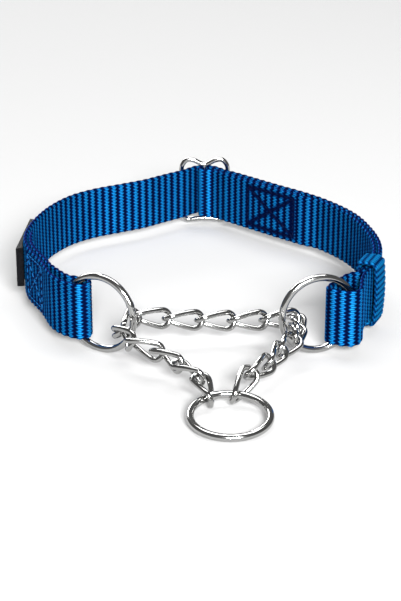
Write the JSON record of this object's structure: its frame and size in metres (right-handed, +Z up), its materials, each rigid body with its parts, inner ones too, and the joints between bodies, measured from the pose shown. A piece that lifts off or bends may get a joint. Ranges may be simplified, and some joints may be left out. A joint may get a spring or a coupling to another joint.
{
  "type": "martingale dog collar",
  "caption": "Half-choke dog collar: adjustable webbing strap with a wire slider, round side rings and a short chain loop that carries a leash ring.",
  "frame": {"origin": "middle of the collar's footprint, on the ground it rests on", "axes": "+Z up, along the webbing's width; -Y towards the leash ring; +Y towards the slider; +X to the side of the keeper loop"},
  "size_m": [0.16, 0.241, 0.0351],
  "materials": {
    "webbing": "coarse rib weave, nylon",
    "thread": "bonded sewing thread",
    "label": "satin, soft",
    "steel": "polished plating"
  },
  "bodies": {
    "strap": {"webbing_strap": "webbing", "side_label": "label", "left_box_seam": "thread", "left_tail_seam": "thread", "right_box_seam": "thread"},
    "keeper": {"keeper_loop": "webbing"},
    "slider": {"slider": "steel"},
    "left_side_ring": {"left_side_ring": "steel"},
    "right_side_ring": {"right_side_ring": "steel"},
    "left_corner_link": {"chain_link_left_corner": "steel"},
    "right_corner_link": {"chain_link_right_corner": "steel"},
    "left_link_1": {"chain_link_left_1": "steel"},
    "right_link_5": {"chain_link_right_5": "steel"},
    "leash_run_1": {"chain_link_left_2": "steel", "chain_link_right_4": "steel"},
    "leash_run_2": {"chain_link_left_3": "steel", "chain_link_right_3": "steel"},
    "leash_run_3": {"chain_link_left_4": "steel", "chain_link_right_2": "steel"},
    "leash_run_4": {"chain_link_left_5": "steel", "chain_link_right_1": "steel"},
    "leash_ring": {"leash_ring": "steel"},
    "neck_run": {"chain_link_top_1": "steel", "chain_link_top_5": "steel"},
    "top_link_2": {"chain_link_top_2": "steel"},
    "top_link_3": {"chain_link_top_3": "steel"},
    "top_link_4": {"chain_link_top_4": "steel"}
  },
  "joints": [
    {"name": "keeper_slide", "type": "slide", "parent": "strap", "child": "keeper", "axis": [-0.3951, -0.9186, 0], "range_m": [-0.003, 0.003]},
    {"name": "slider_tilt", "type": "hinge", "parent": "strap", "child": "slider", "pos_m": [0.00295, 0.1148, 0.0184], "axis": [0, 0, 1], "range_deg": [-1.5, 1.5]},
    {"name": "left_ring_spin", "type": "hinge", "parent": "strap", "child": "left_side_ring", "pos_m": [-0.04035, -0.0377, 0.0175], "axis": [0.5, 0.866, 0], "continuous": true},
    {"name": "right_ring_spin", "type": "hinge", "parent": "strap", "child": "right_side_ring", "pos_m": [0.04965, -0.0387, 0.0175], "axis": [0.2924, -0.9563, 0], "continuous": true},
    {"name": "left_corner_roll", "type": "hinge", "parent": "strap", "child": "left_corner_link", "pos_m": [-0.02935, -0.0425, 0.01465], "axis": [0.5134, 0.8215, 0.2482], "range_deg": [-5, 5]},
    {"name": "right_corner_roll", "type": "hinge", "parent": "strap", "child": "right_corner_link", "pos_m": [0.0409, -0.03355, 0.01135], "axis": [-0.0107, 0.9994, -0.0322], "range_deg": [-5, 3]},
    {"name": "leash_run_swing", "type": "hinge", "parent": "strap", "child": "leash_run_1", "pos_m": [0.0043, -0.04275, 0.01235], "axis": [0.9921, 0.1232, -0.023], "range_deg": [-12, 0.5]},
    {"name": "left_link_1_roll", "type": "hinge", "parent": "leash_run_1", "child": "left_link_1", "pos_m": [-0.02965, -0.0534, 0.0136], "axis": [0.404, -0.9128, 0.0599], "range_deg": [-8, 8]},
    {"name": "right_link_5_roll", "type": "hinge", "parent": "leash_run_1", "child": "right_link_5", "pos_m": [0.04025, -0.04485, 0.0118], "axis": [0.1046, 0.9935, -0.0448], "range_deg": [-7, 5]},
    {"name": "leash_run_bend_2", "type": "hinge", "parent": "leash_run_1", "child": "leash_run_2", "pos_m": [0.00845, -0.0631, 0.01165], "axis": [0.9997, 0.0202, 0.0142], "range_deg": [-25, 0.5]},
    {"name": "leash_run_bend_3", "type": "hinge", "parent": "leash_run_2", "child": "leash_run_3", "pos_m": [0.00995, -0.0721, 0.01035], "axis": [0.9996, -0.0222, 0.0194], "range_deg": [-35, 0.5]},
    {"name": "leash_run_bend_4", "type": "hinge", "parent": "leash_run_3", "child": "leash_run_4", "pos_m": [0.01065, -0.0807, 0.00955], "axis": [0.9917, -0.0393, 0.1227], "range_deg": [-30, 0.5]},
    {"name": "leash_ring_swing", "type": "hinge", "parent": "leash_run_4", "child": "leash_ring", "pos_m": [0.00948, -0.08961, 0.00473], "axis": [0.9811, 0.1922, 0.0209], "range_deg": [-18, 0.5]},
    {"name": "neck_run_roll", "type": "hinge", "parent": "strap", "child": "neck_run", "pos_m": [0.00725, -0.0333, 0.01365], "axis": [0.989, 0.1295, -0.0721], "range_deg": [-8, 7]},
    {"name": "top_link_2_roll", "type": "hinge", "parent": "neck_run", "child": "top_link_2", "pos_m": [-0.00619, -0.03506, 0.01335], "axis": [0.9856, 0.1291, -0.1094], "range_deg": [-8, 8]},
    {"name": "top_link_3_roll", "type": "hinge", "parent": "neck_run", "child": "top_link_3", "pos_m": [0.00725, -0.0333, 0.01211], "axis": [0.989, 0.1295, -0.0721], "range_deg": [-8, 8]},
    {"name": "top_link_4_roll", "type": "hinge", "parent": "neck_run", "child": "top_link_4", "pos_m": [0.02069, -0.03154, 0.01139], "axis": [0.9909, 0.1298, -0.0345], "range_deg": [-8, 8]}
  ]
}
